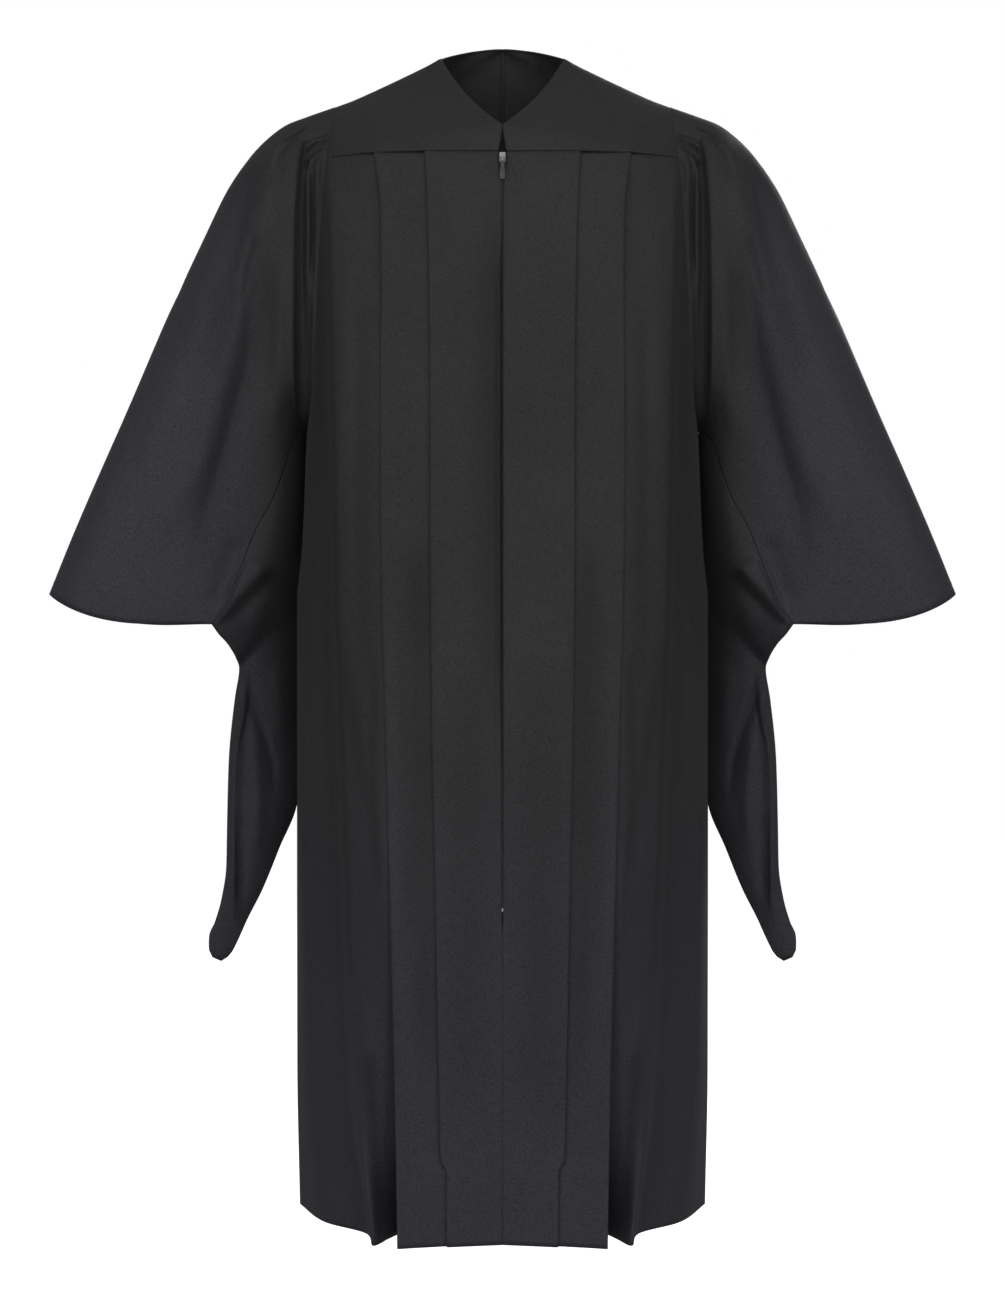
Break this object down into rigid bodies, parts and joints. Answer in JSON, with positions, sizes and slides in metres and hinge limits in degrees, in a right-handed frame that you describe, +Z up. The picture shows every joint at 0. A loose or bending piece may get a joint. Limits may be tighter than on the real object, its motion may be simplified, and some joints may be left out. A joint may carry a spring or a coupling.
{
  "type": "graduation gown",
  "caption": "Hollow worn graduation gown with a pleated zip front, gathered back, plain yoke, bell sleeves with pointed tails, and a swinging zip pull tab.",
  "frame": {"origin": "midway between the two points where the shoulders meet the neck, where the wearer's shoulders hold the gown up", "axes": "+Z up, -Y out of the gown's front, +X to the wearer's left"},
  "size_m": [1.086, 0.3875, 1.4065],
  "materials": {
    "gown_cloth": "matt woven cloth with a slight sheen on its folds",
    "zip_tape": "matt woven tape",
    "zip_metal": "polished",
    "black_wire": "satin"
  },
  "bodies": {
    "gown": {"yoke_right": "gown_cloth", "yoke_left": "gown_cloth", "front_right": "gown_cloth", "front_left": "gown_cloth", "back": "gown_cloth", "sleeve_right": "gown_cloth", "sleeve_left": "gown_cloth", "sleeve_tail_right": "gown_cloth", "sleeve_tail_left": "gown_cloth", "zip_tape": "zip_tape", "zip_slider": "zip_metal", "zip_stop": "zip_metal", "neck_hook": "black_wire", "neck_eye": "black_wire"},
    "pull": {"zip_pull": "zip_metal"}
  },
  "joints": [
    {"name": "pull_swing", "type": "hinge", "parent": "gown", "child": "pull", "pos_m": [0, -0.11353, -0.1405], "axis": [-1, 0, 0], "range_deg": [0, 150]}
  ]
}
